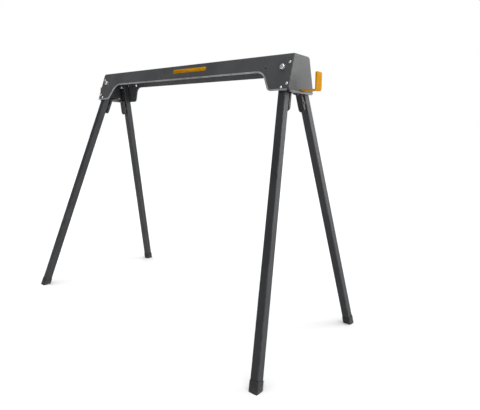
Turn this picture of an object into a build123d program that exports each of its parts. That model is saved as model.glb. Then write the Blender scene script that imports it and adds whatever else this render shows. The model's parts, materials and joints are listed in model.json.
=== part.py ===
"""Folding sawhorse: a folded sheet-steel beam, four fold-up square legs and two slide-out timber arms.

Units are millimetres. X runs along the beam, Y across it and Z up from the floor.
"front" is the -Y side, "rear" the +Y side, "left" the -X end and "right" the +X end.
"""
from build123d import *
import os
from math import cos, radians, sin, tan

# ---- driving dimensions ----
# The angles are in degrees.
# beam
BEAM_TOP = 780.0                # height of the flat top above the floor
BEAM_HALF_LENGTH = 427.0        # half the length of the sheet-steel channel
BEAM_TOP_WIDTH = 73.0           # outside width across the flat top
SPLAY = 15.25                   # slope of the walls and of the legs, degrees from vertical
SHEET = 2.0                     # thickness of the channel's sheet
TOP_BEND = 3.0                  # outside bend radius along the top corners
WEB_BOTTOM = 735.5              # lower edge of the walls between the gussets
GUSSET_BOTTOM = 683.0           # lower edge of the gussets
RAMP_TOP_X = 338.0              # where the gusset's sloping edge meets the web's lower edge
RAMP_BOTTOM_X = 366.0           # where it meets the gusset's lower edge
RAMP_TOP_RADIUS = 38.0
RAMP_BOTTOM_RADIUS = 14.0
BEAD_RADIUS = 2.2               # curled bead along the walls' lower edges
BEAD_INSET = 0.2                # wall's outer face to the bead's centre

# legs
PIVOT_X = 400.0
PIVOT_Z = 743.5                 # where the bolt's axis meets the wall's outer face
LEG_LEAN = 6.05                 # outward lean along the beam, in the leg's own plane
LEG_OFFSET = 15.2               # wall's outer face to the tube's axis
TUBE = 22.0
TUBE_WALL = 1.5
TUBE_CORNER = 2.5
TUBE_ABOVE_PIVOT = 12.0
FOLD_TILT = 1.70                # a folded right leg lies this much above level, a left one below
CAP = 24.6                      # rubber foot, square
CAP_HEIGHT = 22.0
CAP_FLOOR = 3.0

# leg lock
LOCK_REACH = 56.5               # pivot to lock button, along the leg
BUTTON_RADIUS = 3.7
BUTTON_HOLE_RADIUS = 4.2
STEM_RADIUS = 2.0
STEM_HOLE_RADIUS = 2.6
STEM_HEAD_RADIUS = 3.5
STEM_HEAD = 1.2
STEM_GAP = 0.3                  # between the lever and the stem's head
LEVER_TOP = 55.0                # pivot to the lever's top edge, along the leg
LEVER_END = 108.0               # pivot to the lever's rounded lower end
LEVER_PIN_REACH = 84.0          # pivot to the lever's hinge pin
LEVER_PIN_STAND = 6.0           # tube's inner face to the hinge pin's axis
LEVER_STAND = 13.2              # tube's inner face to the lever's outer face
LEVER_WIDTH = 18.0
LEVER_SHEET = 1.5
LEVER_FLANGE = 8.0
LEVER_EAR_RADIUS = 5.4
LEVER_PIN_RADIUS = 2.0
LEVER_PIN_HEAD_RADIUS = 3.3
LEVER_PIN_HEAD = 1.2
LEVER_PIN_GAP = 0.3
BRACKET_LENGTH = 9.0
BRACKET_SHEET = 1.6
BRACKET_CORNER = 2.5
BRACKET_GAP = 0.5               # clearance between the lever's cheeks and its bracket
BUTTON_STAND = 2.6              # how far the button stands out of the wall
LEAF_SHEET = 0.8
LEAF_WIDTH = 11.0
LEAF_START = 49.5               # pivot to the top of the leaf spring, along the leg
LEAF_BEND = 116.0               # pivot to the spring's bend
LEAF_BEND_DEPTH = 9.0
LEAF_TURN = (4.5, 111.0)        # where the bend ends: inward of the tube's axis, and down the leg
LEAF_FREE_END = 84.0            # pivot to the tip of the spring's short limb

# end plates and timber arms
END_PLATE = 2.5
END_PLATE_BOTTOM = 679.0
END_PLATE_FOOT_HALF = 54.0
END_SHOULDER = 689.0            # where the plate's sides turn in to its foot
END_LIP_RADIUS = 2.8
END_TOP_GAP = 0.3
FLANGE_LENGTH = 15.0            # the folded flanges that are riveted to the walls
FLANGE_HEIGHT = 78.0
FLANGE_MIDDLE_Z = 728.0
ARM_THICK = 4.0
ARM_TOP = 688.3                 # the timber rests here
ARM_GAP = 0.3                   # clearance between the arm and what it slides on
ARM_SEAT = 471.0                # inside of the upturned hook, from the beam's middle
HOOK_TOP = 734.0
HOOK_CORNER = 4.0
HOOK_BEND = 6.0
HOOK_Y = (-1.0, 27.0)           # the hook at the right end; the left end is its half turn
ARM_Y = (-1.0, 17.0)            # the arm is narrower, to pass between the folding legs
ARM_TAIL_X = 376.0
ARM_FLARE_X = 467.0             # where the arm widens to the hook, which stops it against the end plate
SLEEVE_END_X = 386.0
SLEEVE_SHEET = 1.5
STOP_RIVET_X = 381.0            # the rivet on the tail that stops the arm from pulling out
STOP_RIVET_RADIUS = 3.0
STOP_RIVET_HEAD = 2.0

# fasteners
BOLT_RADIUS = 4.0
FIT = 0.05                      # radial running clearance of a hinge pin
BOLT_HEAD_AF = 13.0
BOLT_HEAD = 5.3
BOLT_CHAMFER = 1.0
BOLT_THREAD_SHOWING = 2.2       # how far the bolt stands out of its nut
NUT_GAP = 0.3
NUT_HEIGHT = 6.5
WASHER = 1.4
WASHER_RADIUS = 7.0
SPACER_RADIUS = 9.0
SPACER_GAP = 0.1
RIVET_RADIUS = 2.4
RIVET_HEAD_RADIUS = 3.7
RIVET_HEAD = 1.9
RIVET_TAIL_RADIUS = 3.1
RIVET_TAIL = 0.8
END_RIVETS = ((421.5, 699.0), (419.5, 756.0))   # X and Z on the wall's outer face

# ---- worked-out sizes ----
SLOPE = tan(radians(SPLAY))
COS_SPLAY = cos(radians(SPLAY))
SIN_SPLAY = sin(radians(SPLAY))
SPACER = LEG_OFFSET - SHEET - TUBE / 2 - 2 * SPACER_GAP
LEAF_REACH = TUBE / 2 - TUBE_WALL - 0.2     # tube's axis to the spring's outer faces
LOWER_EDGE_RADII = [RAMP_BOTTOM_RADIUS, RAMP_TOP_RADIUS, RAMP_TOP_RADIUS, RAMP_BOTTOM_RADIUS]
ENDS = {"left": -1, "right": 1}
SIDES = {"front": -1, "rear": 1}
CORNERS = [(side, end) for side in SIDES for end in ENDS]


def half_width(z):
    """Half the beam's outside width at height z."""
    return BEAM_TOP_WIDTH / 2 + (BEAM_TOP - z) * SLOPE


def inward(side):
    """Unit vector square to a side wall, pointing into the beam."""
    return Vector(0, -SIDES[side] * COS_SPLAY, -SIN_SPLAY)


def down_wall(side):
    """Unit vector down the slope of a side wall."""
    return Vector(0, SIDES[side] * SIN_SPLAY, -COS_SPLAY)


def wall_plane(side, x, z):
    """Plane on the wall's outer face at (x, z), facing into the beam, with its Y axis down the wall."""
    origin = Vector(x, SIDES[side] * half_width(z), z)
    facing = inward(side)
    return Plane(origin, x_dir=down_wall(side).cross(facing), z_dir=facing)


def leg_direction(side, end):
    """Unit vector along an open leg, from its pivot to its foot."""
    lean = radians(LEG_LEAN)
    return down_wall(side) * cos(lean) + Vector(ENDS[end] * sin(lean), 0, 0)


def pivot_plane(side, end):
    """Plane on the wall's outer face at a leg's pivot, facing into the beam."""
    return wall_plane(side, ENDS[end] * PIVOT_X, PIVOT_Z)


def leg_plane(side, end):
    """Plane across the tube at its pivot: Z runs down the leg and X points into the beam."""
    origin = pivot_plane(side, end).origin + inward(side) * LEG_OFFSET
    return Plane(origin, x_dir=inward(side), z_dir=leg_direction(side, end))


def leg_side_plane(side, end):
    """Plane along the tube at its pivot: X points into the beam and Y runs down the leg."""
    across = leg_plane(side, end)
    return Plane(across.origin, x_dir=across.x_dir, z_dir=across.x_dir.cross(across.z_dir))


def leg_face_plane(side, end, reach, offset=0.0):
    """Plane square to the lock button's axis, at a distance down the leg and off its axis."""
    across = leg_plane(side, end)
    origin = across.origin + across.z_dir * reach + across.x_dir * offset
    return Plane(origin, x_dir=across.z_dir, z_dir=across.x_dir)


def lock_points(side, end):
    """Centres on the wall's outer face of the lock holes for the open and the folded leg."""
    pivot = pivot_plane(side, end).origin
    tilt = radians(FOLD_TILT) * ENDS[end]
    folded = Vector(-ENDS[end] * cos(tilt), 0, 0) - down_wall(side) * sin(tilt)
    return [pivot + leg_direction(side, end) * LOCK_REACH, pivot + folded * LOCK_REACH]


def save(part, label):
    """Labels a finished part and writes its STEP file."""
    part.label = label
    export_step(part, f"parts/{label}.step")


def channel_corners(inset):
    """Corners of the channel's trapezoid in a YZ sketch, moved in from the outer faces by inset."""
    top = BEAM_TOP - inset
    bottom = GUSSET_BOTTOM - 3 * SHEET
    high = half_width(top) - inset / COS_SPLAY
    low = half_width(bottom) - inset / COS_SPLAY
    return [(-high, top), (high, top), (low, bottom), (-low, bottom)]


def lower_edge():
    """Corners of a wall's lower edge: along the wall, and down it from the web's edge."""
    drop = (WEB_BOTTOM - GUSSET_BOTTOM) / COS_SPLAY
    half = [(RAMP_TOP_X, 0), (RAMP_BOTTOM_X, drop), (BEAM_HALF_LENGTH, drop)]
    return [(-x, down) for x, down in reversed(half)] + half


def make_beam():
    """The beam: a channel with splayed walls that deepen into a gusset at each end."""
    below = Vector(0, 6 * SHEET)
    with BuildPart() as beam:
        with BuildSketch(Plane.YZ):
            with BuildLine():
                Polyline(*channel_corners(0), close=True)
            make_face()
        extrude(amount=BEAM_HALF_LENGTH, both=True)
        fillet(beam.edges().filter_by(Axis.X).group_by(Axis.Z)[-1], radius=TOP_BEND)
        with BuildSketch(Plane.YZ):
            with BuildLine():
                Polyline(*channel_corners(SHEET), close=True)
            make_face()
        extrude(amount=BEAM_HALF_LENGTH + 1, both=True, mode=Mode.SUBTRACT)
        for side in SIDES:
            wall = wall_plane(side, 0, WEB_BOTTOM)
            with BuildSketch(wall):
                with BuildLine():
                    edge = FilletPolyline(*lower_edge(), radius=LOWER_EDGE_RADII)
                    Polyline(edge @ 1, (edge @ 1) + below, (edge @ 0) + below, edge @ 0)
                make_face()
            extrude(amount=4 * SHEET, both=True, mode=Mode.SUBTRACT)
            with BuildLine(wall.offset(BEAD_INSET)) as bead:
                FilletPolyline(*lower_edge(), radius=LOWER_EDGE_RADII)
            with BuildSketch(Plane(bead.line @ 0, z_dir=bead.line % 0)):
                Circle(BEAD_RADIUS)
            sweep(path=bead.line)
        for side, end in CORNERS:
            with Locations(pivot_plane(side, end)):
                Cylinder(BOLT_RADIUS + FIT, 4 * SHEET, mode=Mode.SUBTRACT)
            for point in lock_points(side, end):
                with Locations(Plane(point, z_dir=inward(side))):
                    Cylinder(BUTTON_HOLE_RADIUS, 4 * SHEET, mode=Mode.SUBTRACT)
            for x, z in END_RIVETS:
                with Locations(wall_plane(side, ENDS[end] * x, z)):
                    Cylinder(RIVET_RADIUS, 4 * SHEET, mode=Mode.SUBTRACT)
    save(beam.part, "beam_channel")


def make_end_plate(end):
    """The pressed plate that closes one end, with side flanges, a rolled lower lip and the arm's slot."""
    sign = ENDS[end]
    top = BEAM_TOP - SHEET - END_TOP_GAP
    slot = sorted(sign * y for y in (ARM_Y[0] - ARM_GAP, ARM_Y[1] + ARM_GAP))
    inner = BEAM_HALF_LENGTH
    with BuildPart() as plate:
        with BuildSketch(Plane.YZ.offset(sign * inner)):
            with BuildLine():
                Polyline(
                    (-half_width(top) + TOP_BEND, top),
                    (half_width(top) - TOP_BEND, top),
                    (half_width(top - TOP_BEND), top - TOP_BEND),
                    (half_width(END_SHOULDER), END_SHOULDER),
                    (END_PLATE_FOOT_HALF, END_PLATE_BOTTOM),
                    (-END_PLATE_FOOT_HALF, END_PLATE_BOTTOM),
                    (-half_width(END_SHOULDER), END_SHOULDER),
                    (-half_width(top - TOP_BEND), top - TOP_BEND),
                    close=True,
                )
            make_face()
        extrude(amount=sign * END_PLATE)
        lip_half = END_PLATE_FOOT_HALF - 1
        with BuildSketch(Plane.XZ.offset(-lip_half)):
            with Locations((sign * (inner + END_PLATE), END_PLATE_BOTTOM + END_LIP_RADIUS / 2)):
                Circle(END_LIP_RADIUS)
        extrude(amount=2 * lip_half)
        for side in SIDES:
            flange = wall_plane(side, sign * (inner - FLANGE_LENGTH / 2), FLANGE_MIDDLE_Z)
            with BuildSketch(flange.offset(SHEET)):
                Rectangle(FLANGE_LENGTH, FLANGE_HEIGHT)
            extrude(amount=SHEET)
        with BuildSketch(Plane.YZ.offset(sign * (inner - 1))):
            with Locations((sum(slot) / 2, ARM_TOP - ARM_THICK / 2)):
                Rectangle(slot[1] - slot[0], ARM_THICK + 2 * ARM_GAP)
        extrude(amount=sign * (END_PLATE + 4), mode=Mode.SUBTRACT)
        for side in SIDES:
            for x, z in END_RIVETS:
                with Locations(wall_plane(side, sign * x, z)):
                    Cylinder(RIVET_RADIUS, 8 * SHEET, mode=Mode.SUBTRACT)
    save(plate.part, f"end_plate_{end}")


def make_arm_sleeve(end):
    """The flat rectangular sleeve behind an end plate that the arm slides in."""
    sign = ENDS[end]
    middle = (sign * sum(ARM_Y) / 2, ARM_TOP - ARM_THICK / 2)
    width = ARM_Y[1] - ARM_Y[0] + 2 * ARM_GAP
    height = ARM_THICK + 2 * ARM_GAP
    with BuildPart() as sleeve:
        with BuildSketch(Plane.YZ.offset(sign * SLEEVE_END_X)):
            with Locations(middle):
                RectangleRounded(width + 2 * SLEEVE_SHEET, height + 2 * SLEEVE_SHEET, SLEEVE_SHEET)
                Rectangle(width, height, mode=Mode.SUBTRACT)
        extrude(amount=sign * (BEAM_HALF_LENGTH - SLEEVE_END_X))
    save(sleeve.part, f"arm_sleeve_{end}")


def make_support_arm(end):
    """The flat steel arm that slides out under a timber, with its end turned up as a wider hook."""
    sign = ENDS[end]
    bottom = ARM_TOP - ARM_THICK
    outside = ARM_SEAT + ARM_THICK
    with BuildPart() as arm:
        with BuildSketch(Plane.XY.offset(bottom)):
            with BuildLine():
                Polyline(
                    (sign * ARM_TAIL_X, sign * ARM_Y[0]),
                    (sign * outside, sign * HOOK_Y[0]),
                    (sign * outside, sign * HOOK_Y[1]),
                    (sign * ARM_SEAT, sign * HOOK_Y[1]),
                    (sign * ARM_FLARE_X, sign * ARM_Y[1]),
                    (sign * ARM_TAIL_X, sign * ARM_Y[1]),
                    close=True,
                )
            make_face()
        extrude(amount=ARM_THICK)
        with BuildSketch(Plane.YZ.offset(sign * ARM_SEAT)) as upright:
            with Locations((sign * sum(HOOK_Y) / 2, (bottom + HOOK_TOP) / 2)):
                Rectangle(HOOK_Y[1] - HOOK_Y[0], HOOK_TOP - bottom)
            fillet(upright.vertices().group_by(Axis.Y)[-1], radius=HOOK_CORNER)
        extrude(amount=sign * ARM_THICK)
        outer_bend = arm.edges().filter_by(Axis.Y).group_by(Axis.Z)[0].sort_by(Axis.X)
        fillet(outer_bend[-1] if sign > 0 else outer_bend[0], radius=HOOK_BEND)
        with Locations((sign * STOP_RIVET_X, sign * sum(ARM_Y) / 2, ARM_TOP)):
            Cylinder(STOP_RIVET_RADIUS / 2, 4 * ARM_THICK, mode=Mode.SUBTRACT)
    save(arm.part, f"support_arm_{end}")


def make_stop_rivet(end):
    """The button-headed rivet on an arm's tail, which meets the sleeve when the arm is fully out."""
    sign = ENDS[end]
    spot = (sign * STOP_RIVET_X, sign * sum(ARM_Y) / 2)
    with BuildPart() as rivet:
        with BuildSketch(Plane.XY.offset(ARM_TOP - ARM_THICK)):
            with Locations(spot):
                Circle(STOP_RIVET_RADIUS / 2)
        extrude(amount=ARM_THICK)
        with BuildSketch(Plane.XY.offset(ARM_TOP)):
            with Locations(spot):
                Circle(STOP_RIVET_RADIUS)
        extrude(amount=STOP_RIVET_HEAD)
        fillet(rivet.edges().filter_by(GeomType.CIRCLE).group_by(Axis.Z)[-1], radius=0.8 * STOP_RIVET_HEAD)
    save(rivet.part, f"arm_stop_rivet_{end}")


def make_leg_tube(side, end):
    """A square steel leg, cut level near the floor and drilled for its bolt, button and stem."""
    across = leg_plane(side, end)
    bore = TUBE - 2 * TUBE_WALL
    with BuildPart() as tube:
        with BuildSketch(across.offset(-TUBE_ABOVE_PIVOT)):
            RectangleRounded(TUBE, TUBE, TUBE_CORNER)
            RectangleRounded(bore, bore, TUBE_CORNER - TUBE_WALL, mode=Mode.SUBTRACT)
        extrude(amount=BEAM_TOP + TUBE)
        split(bisect_by=Plane.XY.offset(CAP_FLOOR), keep=Keep.TOP)
        with Locations(leg_face_plane(side, end, 0)):
            Cylinder(BOLT_RADIUS + FIT, 2 * TUBE, mode=Mode.SUBTRACT)
        with Locations(leg_face_plane(side, end, LOCK_REACH, -TUBE / 2)):
            Cylinder(BUTTON_HOLE_RADIUS, 4 * TUBE_WALL, mode=Mode.SUBTRACT)
        with Locations(leg_face_plane(side, end, LOCK_REACH, TUBE / 2)):
            Cylinder(STEM_HOLE_RADIUS, 4 * TUBE_WALL, mode=Mode.SUBTRACT)
    save(tube.part, f"leg_tube_{side}_{end}")


def make_foot_cap(side, end):
    """A square rubber foot that sleeves the tube and stands flat on the floor."""
    across = leg_plane(side, end)
    reach = across.origin.Z / abs(across.z_dir.Z)
    with BuildPart() as cap:
        with BuildSketch(across.offset(reach - CAP_HEIGHT)):
            RectangleRounded(CAP, CAP, TUBE_CORNER + 1)
        extrude(amount=2 * CAP_HEIGHT)
        split(bisect_by=Plane.XY, keep=Keep.TOP)
        with BuildPart(mode=Mode.PRIVATE) as core:
            with BuildSketch(across.offset(reach - 2 * CAP_HEIGHT)):
                RectangleRounded(TUBE, TUBE, TUBE_CORNER)
            extrude(amount=4 * CAP_HEIGHT)
            split(bisect_by=Plane.XY.offset(CAP_FLOOR), keep=Keep.TOP)
        add(core.part, mode=Mode.SUBTRACT)
    save(cap.part, f"foot_cap_{side}_{end}")


def make_lock_lever(side, end):
    """The cup-shaped lever on the inside of a leg; squeezing its lower end draws the button back."""
    flat = leg_side_plane(side, end)
    back = TUBE / 2 + LEVER_STAND
    round_end = LEVER_END - LEVER_WIDTH / 2
    with BuildPart() as lever:
        with BuildSketch(leg_face_plane(side, end, 0, back)):
            with Locations(((LEVER_TOP + round_end) / 2, 0)):
                Rectangle(round_end - LEVER_TOP, LEVER_WIDTH)
            with Locations((round_end, 0)):
                Circle(LEVER_WIDTH / 2)
        extrude(amount=-LEVER_FLANGE)
        with BuildSketch(flat):
            with Locations((TUBE / 2 + LEVER_PIN_STAND, LEVER_PIN_REACH)):
                Circle(LEVER_EAR_RADIUS)
        extrude(amount=LEVER_WIDTH / 2, both=True)
        hollow_width = LEVER_WIDTH - 2 * LEVER_SHEET
        with BuildSketch(leg_face_plane(side, end, 0, back - LEVER_SHEET)):
            with Locations(((LEVER_TOP + round_end) / 2 - LEVER_SHEET, 0)):
                Rectangle(round_end - LEVER_TOP + 2 * LEVER_SHEET, hollow_width)
            with Locations((round_end, 0)):
                Circle(hollow_width / 2)
        extrude(amount=-2 * LEVER_FLANGE, mode=Mode.SUBTRACT)
        with Locations(leg_face_plane(side, end, LOCK_REACH, back)):
            Cylinder(STEM_HOLE_RADIUS, 4 * LEVER_SHEET, mode=Mode.SUBTRACT)
        with BuildSketch(flat):
            with Locations((TUBE / 2 + LEVER_PIN_STAND, LEVER_PIN_REACH)):
                Circle(LEVER_PIN_RADIUS + FIT)
        extrude(amount=LEVER_WIDTH, both=True, mode=Mode.SUBTRACT)
    save(lever.part, f"lock_lever_{side}_{end}")


def make_lever_bracket(side, end):
    """The small block-shaped clip on the tube that carries the lever's hinge pin."""
    flat = leg_side_plane(side, end)
    width = LEVER_WIDTH - 2 * (LEVER_SHEET + BRACKET_GAP)
    height = LEVER_PIN_STAND + LEVER_PIN_RADIUS + BRACKET_SHEET / 2
    middle = LEVER_PIN_REACH - BRACKET_GAP
    with BuildPart() as bracket:
        with BuildSketch(flat) as profile:
            with Locations((TUBE / 2 + height / 2, middle)):
                Rectangle(height, BRACKET_LENGTH)
            fillet(profile.vertices().group_by(Axis.X)[-1], radius=BRACKET_CORNER)
        extrude(amount=width / 2, both=True)
        with BuildSketch(flat):
            with Locations((TUBE / 2 + height / 2 + BRACKET_SHEET, middle)):
                Rectangle(height, 2 * BRACKET_LENGTH)
        extrude(amount=width / 2 - BRACKET_SHEET, both=True, mode=Mode.SUBTRACT)
        with BuildSketch(flat):
            with Locations((TUBE / 2 + LEVER_PIN_STAND, LEVER_PIN_REACH)):
                Circle(LEVER_PIN_RADIUS)
        extrude(amount=width, both=True, mode=Mode.SUBTRACT)
    save(bracket.part, f"lever_bracket_{side}_{end}")


def make_lever_pin(side, end):
    """The headed pin that the lever swings on."""
    flat = leg_side_plane(side, end)
    spot = (TUBE / 2 + LEVER_PIN_STAND, LEVER_PIN_REACH)
    head_start = LEVER_WIDTH / 2 + LEVER_PIN_GAP
    with BuildPart() as pin:
        with BuildSketch(flat):
            with Locations(spot):
                Circle(LEVER_PIN_RADIUS)
        extrude(amount=head_start + LEVER_PIN_HEAD, both=True)
        for direction in (-1, 1):
            with BuildSketch(flat.offset(direction * head_start)):
                with Locations(spot):
                    Circle(LEVER_PIN_HEAD_RADIUS)
            extrude(amount=direction * LEVER_PIN_HEAD)
    save(pin.part, f"lever_pin_{side}_{end}")


def make_lock_spring(side, end):
    """The V-shaped leaf spring inside a leg, with the headed stem that the lever pulls."""
    middle = LEAF_REACH - LEAF_SHEET / 2
    head = TUBE / 2 + LEVER_STAND + STEM_GAP
    with BuildPart() as spring:
        with BuildSketch(leg_side_plane(side, end)):
            with BuildLine():
                outer = Line((-middle, LEAF_START), (-middle, LEAF_BEND - LEAF_BEND_DEPTH))
                bend = TangentArc(outer @ 1, LEAF_TURN, tangent=outer % 1)
                Line(bend @ 1, (middle, LEAF_FREE_END))
                offset(amount=LEAF_SHEET / 2, side=Side.BOTH)
            make_face()
        extrude(amount=LEAF_WIDTH / 2, both=True)
        with BuildSketch(leg_face_plane(side, end, LOCK_REACH, -middle)):
            Circle(STEM_RADIUS)
        extrude(amount=head + middle)
        with BuildSketch(leg_face_plane(side, end, LOCK_REACH, head)):
            Circle(STEM_HEAD_RADIUS)
        extrude(amount=STEM_HEAD, taper=30)
    save(spring.part, f"lock_spring_{side}_{end}")


def make_lock_button(side, end):
    """The domed button on the leaf spring that snaps into the wall's lock holes."""
    base = leg_face_plane(side, end, LOCK_REACH, -LEAF_REACH)
    tip = LEG_OFFSET + BUTTON_STAND
    with BuildPart() as button:
        with BuildSketch(base):
            Circle(BUTTON_RADIUS)
        extrude(amount=LEAF_REACH - tip)
        crown = button.edges().filter_by(GeomType.CIRCLE).sort_by(Axis(base.origin, base.z_dir))[0]
        fillet(crown, radius=0.7 * BUTTON_RADIUS)
    save(button.part, f"lock_button_{side}_{end}")


def make_pivot_hardware():
    """The four leg bolts with their nuts, outer washers and inner spacers, as groups of separate solids."""
    tube_far = LEG_OFFSET + TUBE / 2
    with BuildPart() as bolts:
        for side, end in CORNERS:
            face = pivot_plane(side, end)
            with BuildSketch(face.offset(-WASHER)):
                RegularPolygon(BOLT_HEAD_AF / 2, 6, major_radius=False)
            extrude(amount=-BOLT_HEAD + BOLT_CHAMFER)
            with BuildSketch(face.offset(-WASHER - BOLT_HEAD + BOLT_CHAMFER)):
                RegularPolygon(BOLT_HEAD_AF / 2, 6, major_radius=False)
            extrude(amount=-BOLT_CHAMFER, taper=45)
            with BuildSketch(face.offset(-WASHER)):
                Circle(BOLT_RADIUS)
            extrude(amount=WASHER + tube_far + NUT_HEIGHT + BOLT_THREAD_SHOWING)
    save(bolts.part, "pivot_bolts")
    with BuildPart() as nuts:
        for side, end in CORNERS:
            with BuildSketch(pivot_plane(side, end).offset(tube_far + NUT_GAP)):
                RegularPolygon(BOLT_HEAD_AF / 2, 6, major_radius=False)
                Circle(BOLT_RADIUS, mode=Mode.SUBTRACT)
            extrude(amount=NUT_HEIGHT)
    save(nuts.part, "pivot_nuts")
    with BuildPart() as washers:
        for side, end in CORNERS:
            with BuildSketch(pivot_plane(side, end)):
                Circle(WASHER_RADIUS)
                Circle(BOLT_RADIUS, mode=Mode.SUBTRACT)
            extrude(amount=-WASHER)
    save(washers.part, "pivot_washers")
    with BuildPart() as spacers:
        for side, end in CORNERS:
            with BuildSketch(pivot_plane(side, end).offset(SHEET + SPACER_GAP)):
                Circle(SPACER_RADIUS)
                Circle(BOLT_RADIUS, mode=Mode.SUBTRACT)
            extrude(amount=SPACER)
    save(spacers.part, "pivot_spacers")


def make_rivets():
    """The domed rivets that hold the end plates inside the beam's walls."""
    with BuildPart() as rivets:
        for side, end in CORNERS:
            for x, z in END_RIVETS:
                face = wall_plane(side, ENDS[end] * x, z)
                with BuildSketch(face):
                    Circle(RIVET_RADIUS)
                extrude(amount=2 * SHEET)
                with BuildSketch(face.offset(2 * SHEET)):
                    Circle(RIVET_TAIL_RADIUS)
                extrude(amount=RIVET_TAIL)
                with BuildSketch(face):
                    Circle(RIVET_HEAD_RADIUS)
                extrude(amount=-RIVET_HEAD)
                crown = rivets.edges(Select.LAST).filter_by(GeomType.CIRCLE)
                fillet(crown.sort_by(Axis(face.origin, face.z_dir))[0], radius=0.85 * RIVET_HEAD)
    save(rivets.part, "end_plate_rivets")


os.makedirs("parts", exist_ok=True)
make_beam()
make_pivot_hardware()
make_rivets()
for end_name in ENDS:
    make_end_plate(end_name)
    make_arm_sleeve(end_name)
    make_support_arm(end_name)
    make_stop_rivet(end_name)
for side_name, end_name in CORNERS:
    make_leg_tube(side_name, end_name)
    make_foot_cap(side_name, end_name)
    make_lock_lever(side_name, end_name)
    make_lever_bracket(side_name, end_name)
    make_lever_pin(side_name, end_name)
    make_lock_spring(side_name, end_name)
    make_lock_button(side_name, end_name)
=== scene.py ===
"""Looks, light and camera for the folding sawhorse. Lengths are in metres unless a name says otherwise.

The object's frame: X runs along the beam, Y across it and Z up from the floor. "front" is the -Y side.
"""
import json
import math

import bmesh
import bpy
from mathutils import Matrix, Vector


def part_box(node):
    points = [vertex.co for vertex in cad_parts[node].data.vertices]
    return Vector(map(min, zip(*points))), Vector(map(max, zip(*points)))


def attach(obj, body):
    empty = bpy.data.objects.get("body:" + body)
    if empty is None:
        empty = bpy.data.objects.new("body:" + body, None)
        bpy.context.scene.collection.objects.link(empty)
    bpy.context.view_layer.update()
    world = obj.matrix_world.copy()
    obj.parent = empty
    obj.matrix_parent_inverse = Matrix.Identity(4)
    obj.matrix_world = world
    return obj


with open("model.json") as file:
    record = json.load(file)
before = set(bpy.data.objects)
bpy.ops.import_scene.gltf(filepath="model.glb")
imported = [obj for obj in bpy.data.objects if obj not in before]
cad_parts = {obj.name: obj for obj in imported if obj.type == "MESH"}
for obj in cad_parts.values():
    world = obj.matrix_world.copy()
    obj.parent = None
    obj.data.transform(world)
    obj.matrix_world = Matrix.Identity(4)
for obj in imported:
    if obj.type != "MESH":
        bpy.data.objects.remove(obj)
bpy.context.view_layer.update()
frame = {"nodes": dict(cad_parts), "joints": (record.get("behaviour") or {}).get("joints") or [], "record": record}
nodes = frame["nodes"]
beam_high = Vector(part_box("beam_channel")[1])

ENDS = {"left": -1, "right": 1}
SIDES = {"front": -1, "rear": 1}
CORNERS = [(side, end) for side in SIDES for end in ENDS]
MM = 0.001
SPLAY = math.radians(15.25)         # slope of the beam's walls and of the legs
LEG_LEAN = math.radians(6.05)       # outward lean of a leg, in the plane of its wall

# ---- camera: its place, its direction, and a small tilt of the view ----
CAMERA_AT = Vector((1.0264, -0.9751, 0.5672))
CAMERA_HEADING = math.radians(129.42)
CAMERA_PITCH = math.radians(-2.0)
CAMERA_ROLL = math.radians(1.633)
CAMERA_LENS_MM = 31.87
CAMERA_SENSOR_MM = 36
CAMERA_SHIFT_Y = -0.118
CAMERA_NEAR = 0.01
CAMERA_FAR = 200

# ---- light: name, strength, spread in degrees and direction of each broad lamp ----
LAMPS = (
    ("overhead_softbox", 2.6, 60, (0.05, 0.1, -1)),
    ("right_softbox", 1.0, 50, (-1, 0.25, -0.35)),
    ("sheen_softbox", 3.4, 45, (-0.63, -0.77, -0.12)),
)
ROOM_LIGHT = 0.26
FLOOR_HALF = 40

# ---- the beam's outline, which the rim and the amber bar follow ----
WEB_BOTTOM = 735.5 * MM
GUSSET_BOTTOM = 683 * MM
RAMP_TOP_X = 338 * MM
RAMP_BOTTOM_X = 366 * MM
RAMP_TOP_RADIUS = 38 * MM
RAMP_BOTTOM_RADIUS = 14 * MM
BEAM_HALF_TOP = 36.5 * MM

# ---- rim and lips: light grey coat as a painted highlight, with rubbed metal on worn edges ----
BEAD_OUT = 0.1 * MM                 # the rim's centre line, out from the wall's face
BEAD_RADIUS = 2.35 * MM
LIP_RADIUS = 3.1 * MM               # just over the rolled lip below an end plate
LIP_INSET = 2.8 * MM                # the lip's centre line, in from the plate's outer face and lower edge
LIP_HALF = 53.3 * MM
LIP_POINTS = 9

# ---- amber paint ----
PAINT_FROM = 430 * MM               # the arms are amber outside the end plates
PAINT_BLUR = 0.5 * MM
STRIPE_X = 42 * MM
STRIPE_ABOVE = 27 * MM              # up the wall from the web's lower edge
STRIPE_LENGTH = 150 * MM
STRIPE_RADIUS = 6.5 * MM
STRIPE_STEPS = 16
# The bar's layers from the wall outward: place out from the wall's face, and share of the full height.
STRIPE_LAYERS = ((-0.05 * MM, 1.0), (0.14 * MM, 1.0), (0.2 * MM, 0.94))

# ---- legs and feet ----
TUBE_HALF = 11 * MM
CAP_CORNER = 3.5 * MM
CAP_HALF = 12.3 * MM
CAP_RINGS = ((21 * MM, 1.0 * MM), (14 * MM, 0.6 * MM), (9 * MM, 0.6 * MM))  # height above the floor, radius
RING_PROUD = 0.3 * MM               # less than the 0.4 mm between a cap and the next folded leg
DUST_TOP = 16 * MM

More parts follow.
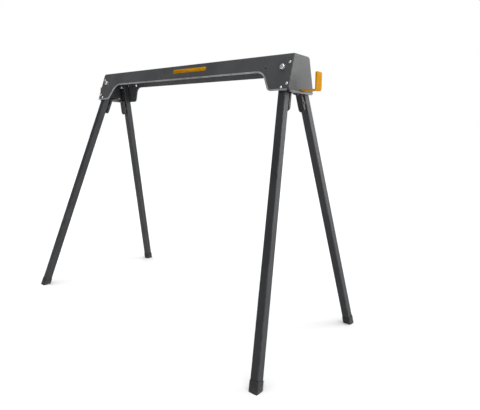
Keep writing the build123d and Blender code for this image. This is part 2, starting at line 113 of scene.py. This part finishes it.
# ---- welds and threads ----
LEVER_PIN_REACH = 84 * MM           # down the leg from its pivot
BRACKET_HALF = 7 * MM
BRACKET_WELD_RISE = 4.8 * MM        # start of the bead, back up the leg from the lever's pin
BRACKET_WELD_LENGTH = 8.6 * MM
SLEEVE_WELD_INSET = 0.3 * MM
SLEEVE_WELD_SHARE = 0.86            # of the sleeve's width
WELD_WAVE = 1.9                     # turn of the ripple from one point of a bead to the next, in radians
WELD_TIP = 0.3                      # radius at a bead's ends, as a share of its own
THREAD_START = 17.9 * MM            # from the leg's pivot to the nut's face
THREAD_LENGTH = 1.8 * MM
THREAD_PITCH = 1.25 * MM
THREAD_RADIUS = 3.9 * MM
THREAD_RIDGE = 0.38 * MM
THREAD_STEPS = 24

# ---- colours, linear ----
CHARCOAL = (0.048, 0.049, 0.051, 1)
CHARCOAL_LIGHT = (0.072, 0.073, 0.076, 1)
LEG_GREY = (0.021, 0.022, 0.024, 1)
LEG_GREY_LIGHT = (0.034, 0.035, 0.038, 1)
RUBBED = (0.26, 0.26, 0.265, 1)
# Light grey of the rim and lips: a painted highlight along their curled edges.
RIM_HIGHLIGHT_GREY = (0.30, 0.30, 0.31, 1)
RIM_HIGHLIGHT_GREY_DULL = (0.12, 0.12, 0.125, 1)
BLACK_PAINT = (0.012, 0.012, 0.013, 1)
BLACK_PAINT_LIGHT = (0.022, 0.022, 0.023, 1)
AMBER = (0.525, 0.236, 0.003, 1)
AMBER_DEEP = (0.44, 0.19, 0.002, 1)
ZINC = (0.92, 0.93, 0.95, 1)
ZINC_DULL = (0.64, 0.65, 0.67, 1)
SPRING = (0.10, 0.105, 0.12, 1)
SPRING_DULL = (0.05, 0.05, 0.06, 1)
RUBBER = (0.018, 0.018, 0.019, 1)
RUBBER_DUSTY = (0.066, 0.064, 0.060, 1)
NYLON = (0.62, 0.60, 0.54, 1)
NYLON_SHADE = (0.50, 0.48, 0.42, 1)
FLOOR_SHADE = (0.86, 0.86, 0.865, 1)
FLOOR_WHITE = (0.90, 0.90, 0.90, 1)
WHITE = (1, 1, 1, 1)


# ---- material building blocks ----
class Shader:
    """A node material under construction, with short calls for the nodes that every finish here uses."""

    def __init__(self, name):
        self.material = bpy.data.materials.new(name)
        self.material.use_nodes = True
        self.tree = self.material.node_tree
        self.bsdf = self.tree.nodes["Principled BSDF"]
        self.place = self.add("ShaderNodeTexCoord").outputs["Object"]

    def add(self, kind, **values):
        node = self.tree.nodes.new(kind)
        for key, value in values.items():
            setattr(node, key, value)
        return node

    def link(self, start, end):
        self.tree.links.new(start, end)

    def texture(self, kind, scale, stretch=(1, 1, 1)):
        """A texture with about `scale` features to a metre, drawn out along an axis by a stretch below 1."""
        mapping = self.add("ShaderNodeMapping")
        mapping.inputs["Scale"].default_value = stretch
        self.link(self.place, mapping.inputs["Vector"])
        node = self.add(kind)
        node.inputs["Scale"].default_value = scale
        self.link(mapping.outputs["Vector"], node.inputs["Vector"])
        return node

    def noise(self, scale, detail, stretch=(1, 1, 1), distortion=0.0):
        """Soft clouds of value, mostly between 0.3 and 0.7."""
        node = self.texture("ShaderNodeTexNoise", scale, stretch)
        node.inputs["Detail"].default_value = detail
        node.inputs["Distortion"].default_value = distortion
        return node.outputs["Fac"]

    def grains(self, scale):
        """Distance to the nearest of scattered points, for sprayed or crystalline surfaces."""
        return self.texture("ShaderNodeTexVoronoi", scale).outputs["Distance"]

    def span(self, value, low, high, to_low=0.0, to_high=1.0):
        """A value between low and high, carried to the range to_low to to_high and held there outside it."""
        node = self.add("ShaderNodeMapRange", clamp=True)
        node.inputs["From Min"].default_value = low
        node.inputs["From Max"].default_value = high
        node.inputs["To Min"].default_value = to_low
        node.inputs["To Max"].default_value = to_high
        self.link(value, node.inputs["Value"])
        return node.outputs["Result"]

    def uneven(self, scale, detail, low, high):
        """A value that wanders between low and high over the surface."""
        return self.span(self.noise(scale, detail), 0.3, 0.7, low, high)

    def times(self, a, b):
        node = self.add("ShaderNodeMath", operation="MULTIPLY")
        self.link(a, node.inputs[0])
        if isinstance(b, (int, float)):
            node.inputs[1].default_value = b
        else:
            self.link(b, node.inputs[1])
        return node.outputs[0]

    def mix(self, factor, a, b):
        """Colour a where the factor is 0 and colour b where it is 1."""
        node = self.add("ShaderNodeMix", data_type="RGBA")
        self.link(factor, node.inputs["Factor"])
        for value, socket in ((a, node.inputs[6]), (b, node.inputs[7])):
            if isinstance(value, tuple):
                socket.default_value = value
            else:
                self.link(value, socket)
        return node.outputs[2]

    def round_edges(self, radius):
        """The surface's normal, turned smoothly over each edge."""
        node = self.add("ShaderNodeBevel", samples=6)
        node.inputs["Radius"].default_value = radius
        return node.outputs["Normal"]

    def edges(self, radius, low=0.02, high=0.25):
        """1 along the piece's convex and concave edges, 0 on its flats."""
        geometry = self.add("ShaderNodeNewGeometry")
        difference = self.add("ShaderNodeVectorMath", operation="DISTANCE")
        self.link(self.round_edges(radius), difference.inputs[0])
        self.link(geometry.outputs["Normal"], difference.inputs[1])
        return self.span(difference.outputs["Value"], low, high)

    def coordinate(self, axis):
        """Where the surface is along one of the object's axes, at rest."""
        split = self.add("ShaderNodeSeparateXYZ")
        self.link(self.place, split.inputs[0])
        return split.outputs[axis]

    def outside(self, reach):
        """1 where the surface is further than reach from the beam's middle, along the beam, at rest."""
        size = self.add("ShaderNodeMath", operation="ABSOLUTE")
        self.link(self.coordinate("X"), size.inputs[0])
        return self.span(size.outputs[0], reach - PAINT_BLUR, reach + PAINT_BLUR)

    def bump(self, height, depth, strength, under=None):
        node = self.add("ShaderNodeBump")
        node.inputs["Distance"].default_value = depth
        node.inputs["Strength"].default_value = strength
        self.link(height, node.inputs["Height"])
        if under is not None:
            self.link(under, node.inputs["Normal"])
        return node.outputs["Normal"]

    def finish(self, color, roughness, normal, uniform):
        """Joins the shader's inputs, and sets those that are the same all over."""
        self.link(color, self.bsdf.inputs["Base Color"])
        self.link(roughness, self.bsdf.inputs["Roughness"])
        self.link(normal, self.bsdf.inputs["Normal"])
        for socket, value in uniform.items():
            self.bsdf.inputs[socket].default_value = value
        return self.material


def powder_coat(name, dark, light, rubbed, wear=0.55):
    """Baked coat: grain of about a millimetre, cloudy tone, and rubbed metal along worn edges."""
    s = Shader(name)
    cloud = s.span(s.noise(9, 4), 0.35, 0.68)
    speck = s.span(s.grains(900), 0.05, 0.6)
    tone = s.mix(s.times(cloud, speck), dark, light)
    scuffs = s.span(s.noise(55, 6, (1, 1, 0.25), 0.6), 0.60, 0.72, 0, 0.35)
    tone = s.mix(scuffs, tone, light)
    patchy = s.span(s.noise(70, 5), 0.42, 0.60)
    worn = s.times(s.times(s.edges(1.1 * MM), patchy), wear)
    color = s.mix(worn, tone, rubbed)
    grain = s.bump(s.grains(950), 0.16 * MM, 0.45, s.round_edges(0.9 * MM))
    peel = s.bump(s.noise(210, 2), 0.3 * MM, 0.22, grain)
    return s.finish(color, s.uneven(340, 2, 0.44, 0.60), peel, {"Specular IOR Level": 0.22})


def paint(name, deep, bright, rubbed, under=None):
    """Smooth sprayed enamel with slight orange peel, chipped a little along its edges.

    With an undercoat colour, the enamel ends where the piece goes into the beam.
    """
    s = Shader(name)
    cloud = s.span(s.noise(30, 3), 0.35, 0.68)
    tone = s.mix(cloud, deep, bright)
    if under:
        tone = s.mix(s.outside(PAINT_FROM), under, tone)
    chips = s.times(s.edges(0.9 * MM, 0.05, 0.3), s.span(s.noise(260, 6), 0.56, 0.62))
    color = s.mix(chips, tone, rubbed)
    peel = s.bump(s.noise(420, 2), 0.25 * MM, 0.25, s.round_edges(1.0 * MM))
    return s.finish(color, s.uneven(160, 3, 0.50, 0.65), peel, {"Specular IOR Level": 0.02})


def plated(name, dull, bright, rough=(0.22, 0.42)):
    """Zinc plate or bright steel: mottled crystals, fine turning marks and dull patches."""
    s = Shader(name)
    crystals = s.span(s.grains(420), 0.1, 0.7)
    blotch = s.span(s.noise(90, 4), 0.35, 0.65)
    color = s.mix(s.times(crystals, blotch), bright, dull)
    scratches = s.bump(s.noise(1500, 2, (1, 0.15, 1)), 0.04 * MM, 0.5, s.round_edges(0.6 * MM))
    return s.finish(color, s.uneven(700, 3, *rough), scratches, {"Metallic": 1.0})


def rubber(name, black, dusty):
    """Matt moulded rubber that greys with dust towards the floor."""
    s = Shader(name)
    dust = s.times(s.span(s.coordinate("Z"), 0.0, DUST_TOP, 0.9, 0.12), s.span(s.noise(180, 5), 0.4, 0.66))
    color = s.mix(dust, black, dusty)
    pits = s.bump(s.noise(1300, 3), 0.2 * MM, 0.35, s.round_edges(1.4 * MM))
    return s.finish(color, s.uneven(240, 3, 0.62, 0.82), pits, {"Specular IOR Level": 0.35})


def plastic(name, shade, light):
    """Natural nylon: milky, a little cloudy, softly glossy."""
    s = Shader(name)
    color = s.mix(s.span(s.noise(120, 3), 0.35, 0.65), shade, light)
    marks = s.bump(s.noise(900, 2), 0.1 * MM, 0.25, s.round_edges(0.5 * MM))
    glow = {"Subsurface Weight": 0.15, "Subsurface Scale": 2 * MM}
    return s.finish(color, s.uneven(400, 2, 0.36, 0.5), marks, glow)


FINISHES = {
    "beam_powder_coat": powder_coat("beam_coat", CHARCOAL, CHARCOAL_LIGHT, RUBBED),
    "leg_powder_coat": powder_coat("leg_coat", LEG_GREY, LEG_GREY_LIGHT, RUBBED),
    "lever_powder_coat": powder_coat("lever_coat", BLACK_PAINT, BLACK_PAINT_LIGHT, RUBBED, 0.4),
    "arm_yellow_paint": paint("arm_paint", AMBER_DEEP, AMBER, ZINC_DULL, under=CHARCOAL),
    "zinc_plate": plated("zinc", ZINC_DULL, ZINC),
    "spring_steel": plated("spring", SPRING_DULL, SPRING, (0.18, 0.3)),
    "foot_rubber": rubber("rubber", RUBBER, RUBBER_DUSTY),
    "nylon": plastic("nylon", NYLON_SHADE, NYLON),
}
STRIPE_PAINT = paint("stripe_paint", AMBER_DEEP, AMBER, AMBER_DEEP)
# Coat of the rim and lips: painted light grey as a highlight, with rubbed metal on its worn edges.
RIM_HIGHLIGHT_COAT = powder_coat("rim_highlight_coat", RIM_HIGHLIGHT_GREY_DULL, RIM_HIGHLIGHT_GREY, ZINC_DULL, 0.8)


def dress_cad_nodes():
    """Gives every CAD node the node material of its slot."""
    for part in frame["record"]["subparts"]:
        mesh = nodes[part["node"]].data
        mesh.materials.clear()
        mesh.materials.append(FINISHES[part["material_slot"]])


def into_scene(name, data):
    """An object with this data, in the scene."""
    thing = bpy.data.objects.new(name, data)
    bpy.context.scene.collection.objects.link(thing)
    return thing


def keep_piece(name, mesh_data, body, slot, material=None):
    """Turns finished mesh data into a piece that rides on a body and takes a slot's finish."""
    bmesh.ops.recalc_face_normals(mesh_data, faces=mesh_data.faces)
    mesh = bpy.data.meshes.new(name)
    mesh_data.to_mesh(mesh)
    mesh_data.free()
    mesh.shade_smooth()
    mesh.materials.append(material or FINISHES[slot])
    piece = into_scene(name, mesh)
    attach(piece, body)


# ---- places worked out from the frame ----
def inward(side):
    """Square to a wall, into the beam."""
    return Vector((0, -SIDES[side] * math.cos(SPLAY), -math.sin(SPLAY)))


def down_wall(side):
    return Vector((0, SIDES[side] * math.sin(SPLAY), -math.cos(SPLAY)))


def leg_axes(side, end):
    """The leg's pivot, its direction, and the direction across it in the plane of its wall."""
    fold = next(joint for joint in frame["joints"] if joint["name"] == f"leg_fold_{side}_{end}")
    along = down_wall(side) * math.cos(LEG_LEAN) + Vector((ENDS[end] * math.sin(LEG_LEAN), 0, 0))
    return Vector(fold["pos_m"]), along, along.cross(inward(side)).normalized()


def half_width(z):
    """Half the beam's width at height z, over its walls."""
    return BEAM_HALF_TOP + (beam_high.z - z) * math.tan(SPLAY)


def wall_point(side, x, down, out=0.0):
    """The point `down` the wall from the web's lower edge, at x along the beam and `out` from its face."""
    edge = Vector((x, SIDES[side] * half_width(WEB_BOTTOM), WEB_BOTTOM))
    return edge + down_wall(side) * down - inward(side) * out


# ---- mesh tools ----
def add_band(data, lower, upper):
    """Faces between two closed rings of as many vertices."""
    count = len(lower)
    for k in range(count):
        n = (k + 1) % count
        data.faces.new((lower[k], lower[n], upper[n], upper[k]))


def add_ends(data, rings):
    data.faces.new(reversed(rings[0]))
    data.faces.new(rings[-1])


def add_tube(data, path, radii, sides, closed=False):
    """Sweeps a round section along a path of points, with one radius for each point."""
    count = len(path)
    rings = []
    across = None
    for index, point in enumerate(path):
        ahead = path[(index + 1) % count] if closed or index < count - 1 else point
        behind = path[index - 1] if closed or index > 0 else point
        along = (ahead - behind).normalized()
        if across is None:
            across = along.orthogonal().normalized()
        across = (across - along * across.dot(along)).normalized()
        up = along.cross(across)
        turns = [2 * math.pi * k / sides for k in range(sides)]
        ring = [point + (across * math.cos(t) + up * math.sin(t)) * radii[index] for t in turns]
        rings.append([data.verts.new(spot) for spot in ring])
    for lower, upper in zip(rings, rings[1:]):
        add_band(data, lower, upper)
    if closed:
        add_band(data, rings[-1], rings[0])
    else:
        add_ends(data, rings)


def rounded_path(corners, radii, steps=8):
    """A polyline with an arc at each of its inner corners."""
    path = [corners[0]]
    for before, corner, after, radius in zip(corners, corners[1:], corners[2:], radii):
        arrive = (corner - before).normalized()
        leave = (after - corner).normalized()
        turn = arrive.angle(leave)
        reach = radius * math.tan(turn / 2)
        middle = corner + (leave - arrive).normalized() * radius / math.cos(turn / 2)
        start = corner - arrive * reach - middle
        finish = corner + leave * reach - middle
        path += [middle + start.slerp(finish, k / steps).normalized() * radius for k in range(steps + 1)]
    return path + [corners[-1]]


def square_ring(middle, first, second, half, corner, steps=5):
    """A closed square path with round corners, in the plane of two unit vectors."""
    path = []
    for quarter in range(4):
        centre_turn = math.pi / 2 * quarter + math.pi / 4
        reach = (half - corner) * math.sqrt(2)
        centre = Vector((math.cos(centre_turn), math.sin(centre_turn))) * reach
        for k in range(steps + 1):
            turn = math.pi / 2 * (quarter + k / steps)
            spot = centre + Vector((math.cos(turn), math.sin(turn))) * corner
            path.append(middle + first * spot.x + second * spot.y)
    return path


def add_weld(data, start, run, points, radius, depth):
    """A weld bead from start along run: a row of overlapping puddles that thins out at both ends."""
    path = [start + run * (k / (points - 1)) for k in range(points)]
    radii = [radius * (1 + depth * math.sin(WELD_WAVE * k)) for k in range(points)]
    radii[0] = radii[-1] = WELD_TIP * radius
    add_tube(data, path, radii, sides=8)


# ---- added pieces ----
def make_rim(side):
    """The curled lower edge of a wall, coated light grey as a painted highlight along the curl, with rubbed metal
    on its worn edges.
    """
    drop = (WEB_BOTTOM - GUSSET_BOTTOM) / math.cos(SPLAY)
    half = [(RAMP_TOP_X, 0), (RAMP_BOTTOM_X, drop), (beam_high.x, drop)]
    flat = [(-x, down) for x, down in reversed(half)] + half
    corners = [wall_point(side, x, down, BEAD_OUT) for x, down in flat]
    path = rounded_path(corners, (RAMP_BOTTOM_RADIUS, RAMP_TOP_RADIUS, RAMP_TOP_RADIUS, RAMP_BOTTOM_RADIUS))
    data = bmesh.new()
    add_tube(data, path, [BEAD_RADIUS] * len(path), sides=14)
    # Painted highlight: the rim takes the light grey coat.
    keep_piece(f"rubbed_highlight_rim_{side}", data, "root", "beam_powder_coat", RIM_HIGHLIGHT_COAT)


def make_lip(end):
    """The rolled lower lip of an end plate, coated light grey as a painted highlight, with rubbed metal on its
    worn edges.
    """
    low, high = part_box(f"end_plate_{end}")
    sign = ENDS[end]
    x = (high[0] if sign > 0 else low[0]) - sign * LIP_INSET
    z = low[2] + LIP_INSET
    path = [Vector((x, LIP_HALF * (2 * k / (LIP_POINTS - 1) - 1), z)) for k in range(LIP_POINTS)]
    data = bmesh.new()
    add_tube(data, path, [LIP_RADIUS] * LIP_POINTS, sides=16)
    # Painted highlight: the lip takes the light grey coat.
    keep_piece(f"rubbed_highlight_lip_{end}", data, "root", "beam_powder_coat", RIM_HIGHLIGHT_COAT)


def make_stripe(side):
    """A plain round-ended amber bar, painted on the wall."""
    half_length = STRIPE_LENGTH / 2 - STRIPE_RADIUS
    outline = []
    for centre, start in ((half_length, -0.5), (-half_length, 0.5)):
        for k in range(STRIPE_STEPS + 1):
            turn = math.pi * (start + k / STRIPE_STEPS)
            outline.append((centre + STRIPE_RADIUS * math.cos(turn), STRIPE_RADIUS * math.sin(turn)))
    data = bmesh.new()
    layers = []
    for out, share in STRIPE_LAYERS:
        spots = [wall_point(side, STRIPE_X + x, -STRIPE_ABOVE + y * share, out) for x, y in outline]
        layers.append([data.verts.new(spot) for spot in spots])
    for lower, upper in zip(layers, layers[1:]):
        add_band(data, lower, upper)
    add_ends(data, layers)
    keep_piece(f"amber_bar_{side}", data, "root", "arm_yellow_paint", STRIPE_PAINT)


def make_foot_rings(side, end):
    """The moulded lip round the top of a foot cap and two grip ribs below it."""
    pivot, along, across = leg_axes(side, end)
    reach = pivot.z / abs(along.z)
    data = bmesh.new()
    for above, thick in CAP_RINGS:
        half = CAP_HALF + RING_PROUD - thick
        ring = square_ring(pivot + along * (reach - above), inward(side), across, half, CAP_CORNER)
        add_tube(data, ring, [thick] * len(ring), sides=8, closed=True)
    keep_piece(f"foot_ribs_{side}_{end}", data, f"leg_{side}_{end}", "foot_rubber")


def make_bracket_welds(side, end):
    """Short weld beads along both sides of a lever bracket's base."""
    pivot, along, across = leg_axes(side, end)
    face = pivot + inward(side) * TUBE_HALF + along * (LEVER_PIN_REACH - BRACKET_WELD_RISE)
    data = bmesh.new()
    for hand in (-1, 1):
        start = face + across * hand * BRACKET_HALF
        add_weld(data, start, along * BRACKET_WELD_LENGTH, points=17, radius=0.9 * MM, depth=0.25)
    keep_piece(f"bracket_welds_{side}_{end}", data, f"leg_{side}_{end}", "leg_powder_coat")


def make_sleeve_welds(end):
    """Weld beads where the arm's sleeve meets the end plate, along its top and bottom."""
    low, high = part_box(f"arm_sleeve_{end}")
    x = ENDS[end] * (beam_high.x - SLEEVE_WELD_INSET)
    width = (high[1] - low[1]) * SLEEVE_WELD_SHARE
    data = bmesh.new()
    for z in (low[2], high[2]):
        start = Vector((x, (low[1] + high[1] - width) / 2, z))
        add_weld(data, start, Vector((0, width, 0)), points=37, radius=1.1 * MM, depth=0.22)
    keep_piece(f"sleeve_welds_{end}", data, "root", "beam_powder_coat")


def make_threads(side, end):
    """The turns of thread on the end of a leg bolt that stands out of its nut."""
    pivot, along, across = leg_axes(side, end)
    facing = inward(side)
    start = pivot + facing * THREAD_START
    path = []
    for k in range(round(THREAD_STEPS * THREAD_LENGTH / THREAD_PITCH) + 1):
        turn = 2 * math.pi * k / THREAD_STEPS
        swing = (along * math.cos(turn) + across * math.sin(turn)) * THREAD_RADIUS
        path.append(start + facing * (THREAD_PITCH * k / THREAD_STEPS) + swing)
    data = bmesh.new()
    add_tube(data, path, [THREAD_RIDGE] * len(path), sides=6)
    keep_piece(f"bolt_thread_{side}_{end}", data, "root", "zinc_plate")


# ---- stage, light and camera ----
def make_floor():
    data = bmesh.new()
    bmesh.ops.create_grid(data, x_segments=8, y_segments=8, size=FLOOR_HALF)
    mesh = bpy.data.meshes.new("floor")
    data.to_mesh(mesh)
    data.free()
    floor = into_scene("floor", mesh)
    s = Shader("floor_paper")
    color = s.mix(s.noise(3, 3), FLOOR_SHADE, FLOOR_WHITE)
    tooth = s.bump(s.noise(300, 2), 0.2 * MM, 0.1)
    mesh.materials.append(s.finish(color, s.uneven(40, 3, 0.85, 0.95), tooth, {"Specular IOR Level": 0.1}))


def make_sun(name, energy, spread_degrees, direction):
    """A very broad, distant light, so that every side of the object is lit alike at any pose."""
    light = bpy.data.lights.new(name, "SUN")
    light.energy = energy
    light.angle = math.radians(spread_degrees)
    lamp = into_scene(name, light)
    lamp.rotation_mode = "QUATERNION"
    lamp.rotation_quaternion = Vector(direction).to_track_quat("-Z", "Y")


def make_world():
    """A white room to the eye that lights the object like a soft grey one."""
    world = bpy.data.worlds.new("studio")
    world.use_nodes = True
    tree = world.node_tree
    room = tree.nodes["Background"]
    seen = tree.nodes.new("ShaderNodeBackground")
    for background, strength in ((room, ROOM_LIGHT), (seen, 1.0)):
        background.inputs["Color"].default_value = WHITE
        background.inputs["Strength"].default_value = strength
    path = tree.nodes.new("ShaderNodeLightPath")
    blend = tree.nodes.new("ShaderNodeMixShader")
    tree.links.new(path.outputs["Is Camera Ray"], blend.inputs["Fac"])
    tree.links.new(room.outputs[0], blend.inputs[1])
    tree.links.new(seen.outputs[0], blend.inputs[2])
    tree.links.new(blend.outputs[0], tree.nodes["World Output"].inputs["Surface"])
    bpy.context.scene.world = world


def make_camera():
    data = bpy.data.cameras.new("camera")
    data.lens = CAMERA_LENS_MM
    data.sensor_width = CAMERA_SENSOR_MM
    data.shift_y = CAMERA_SHIFT_Y
    data.clip_start = CAMERA_NEAR
    data.clip_end = CAMERA_FAR
    camera = into_scene("camera", data)
    level = math.cos(CAMERA_PITCH)
    forward = Vector((
        math.cos(CAMERA_HEADING) * level,
        math.sin(CAMERA_HEADING) * level,
        math.sin(CAMERA_PITCH),
    ))
    turn = forward.to_track_quat("-Z", "Y").to_matrix().to_4x4()
    camera.matrix_world = Matrix.Translation(CAMERA_AT) @ turn @ Matrix.Rotation(CAMERA_ROLL, 4, "Z")
    bpy.context.scene.camera = camera


dress_cad_nodes()
for side_name in SIDES:
    make_rim(side_name)
    make_stripe(side_name)
for end_name in ENDS:
    make_sleeve_welds(end_name)
    make_lip(end_name)
for side_name, end_name in CORNERS:
    make_foot_rings(side_name, end_name)
    make_bracket_welds(side_name, end_name)
    make_threads(side_name, end_name)
make_floor()
for lamp_settings in LAMPS:
    make_sun(*lamp_settings)
make_world()
make_camera()
bpy.context.scene.view_settings.view_transform = "Standard"
